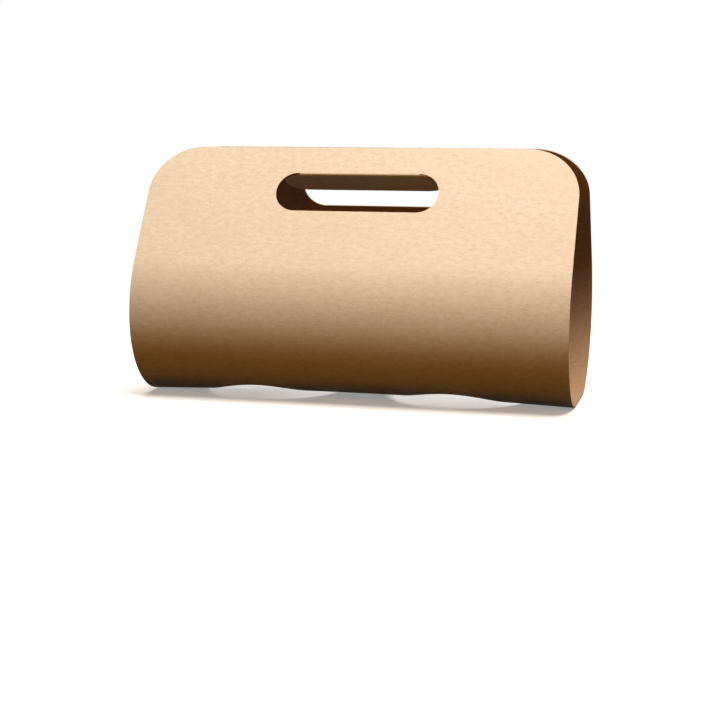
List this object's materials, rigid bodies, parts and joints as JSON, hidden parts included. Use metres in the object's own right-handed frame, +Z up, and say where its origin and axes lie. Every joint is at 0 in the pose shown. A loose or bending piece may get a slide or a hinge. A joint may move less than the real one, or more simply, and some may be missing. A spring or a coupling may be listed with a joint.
{
  "type": "cup carrier",
  "caption": "Carrier for drinking cups, one sheet of kraft board bent into an open loop, with round cup holes in its base and folded hand slots in its leaning panels.",
  "frame": {"origin": "on the plane the carrier stands on, below the middle of the loop", "axes": "+X along the loop, -Y towards the front panel, +Z up"},
  "size_m": [0.23, 0.114, 0.1322],
  "materials": {
    "kraft_board": "matt natural kraft board with fine fibre streaks"
  },
  "bodies": {
    "root": {"cup_carrier": "kraft_board"}
  },
  "joints": []
}
